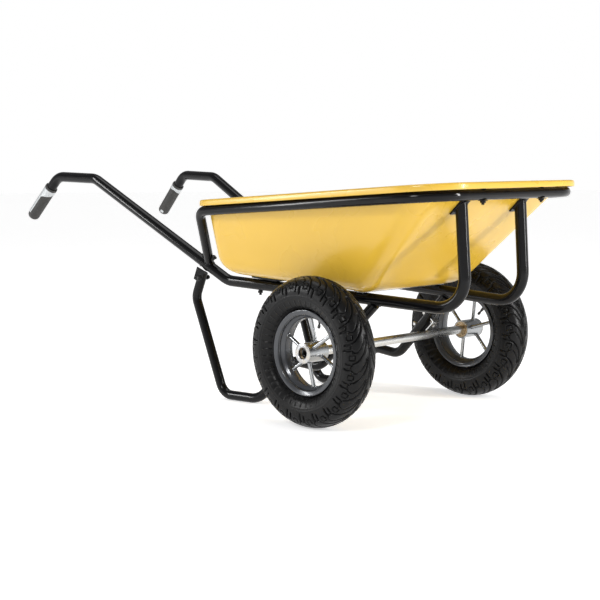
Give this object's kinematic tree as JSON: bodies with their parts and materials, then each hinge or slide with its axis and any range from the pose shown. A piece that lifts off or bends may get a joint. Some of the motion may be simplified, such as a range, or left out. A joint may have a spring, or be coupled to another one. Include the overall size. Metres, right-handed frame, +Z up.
{
  "type": "two-wheeled wheelbarrow",
  "caption": "Manual wheelbarrow with a yellow plastic tray on a black bent-tube frame, with two pneumatic wheels on a straight axle.",
  "frame": {"origin": "middle of the bounding box, on the ground", "axes": "+X from the grips toward the nose, +Y to the operator's left, +Z up"},
  "size_m": [1.7673, 0.771, 0.6673],
  "materials": {
    "tray_plastic": "semi-gloss yellow polypropylene",
    "black_paint": "gloss black powder coat",
    "black_bolts": "black oxide",
    "galvanised": "bright galvanised",
    "zinc": "bright zinc plate",
    "bright_steel": "satin zinc plate",
    "grey_paint": "satin grey paint",
    "tyre_rubber": "matt black rubber",
    "butyl": "satin black rubber",
    "bearing_bronze": "greased bearing steel, brown",
    "grip_rubber": "matt dark rubber",
    "silver_plastic": "silver moulded plastic"
  },
  "bodies": {
    "frame": {"axle": "galvanised", "front_crossbar": "galvanised", "left_axle_saddle": "galvanised", "left_crossbar_stud": "black_bolts", "left_grip": "grip_rubber", "left_grip_collar": "silver_plastic", "left_grip_inlay": "silver_plastic", "left_handle_tube": "black_paint", "left_leg_bolt": "black_bolts", "left_leg_clamp": "black_paint", "left_leg_tube": "black_paint", "left_lower_axle_bolt": "zinc", "left_plate_bolt": "black_bolts", "left_rail_end_bolt": "black_bolts", "left_rim_bolt": "black_bolts", "left_upper_axle_bolt": "zinc", "left_upright_plate": "black_paint", "left_wheel_retaining_ring": "zinc", "rear_crossbar": "black_paint", "right_axle_saddle": "galvanised", "right_crossbar_stud": "black_bolts", "right_grip": "grip_rubber", "right_grip_collar": "silver_plastic", "right_grip_inlay": "silver_plastic", "right_handle_tube": "black_paint", "right_leg_bolt": "black_bolts", "right_leg_clamp": "black_paint", "right_leg_tube": "black_paint", "right_lower_axle_bolt": "zinc", "right_plate_bolt": "black_bolts", "right_rail_end_bolt": "black_bolts", "right_rim_bolt": "black_bolts", "right_upper_axle_bolt": "zinc", "right_upright_plate": "black_paint", "right_wheel_retaining_ring": "zinc", "rim_rail": "black_paint", "tray": "tray_plastic"},
    "right_wheel": {"right_wheel_hub": "bright_steel", "right_wheel_hub_face": "zinc", "right_wheel_inner_bearing": "bearing_bronze", "right_wheel_inner_tube": "butyl", "right_wheel_outer_bearing": "bearing_bronze", "right_wheel_rim": "grey_paint", "right_wheel_tyre": "tyre_rubber", "right_wheel_valve_cap": "butyl", "right_wheel_valve_stem": "butyl"},
    "left_wheel": {"left_wheel_hub": "bright_steel", "left_wheel_hub_face": "zinc", "left_wheel_inner_bearing": "bearing_bronze", "left_wheel_inner_tube": "butyl", "left_wheel_outer_bearing": "bearing_bronze", "left_wheel_rim": "grey_paint", "left_wheel_tyre": "tyre_rubber", "left_wheel_valve_cap": "butyl", "left_wheel_valve_stem": "butyl"}
  },
  "joints": [
    {"name": "right_wheel_spin", "type": "hinge", "parent": "frame", "child": "right_wheel", "pos_m": [0.4606, -0.336, 0.2], "axis": [0, 1, 0], "continuous": true},
    {"name": "left_wheel_spin", "type": "hinge", "parent": "frame", "child": "left_wheel", "pos_m": [0.4606, 0.336, 0.2], "axis": [0, 1, 0], "continuous": true}
  ]
}
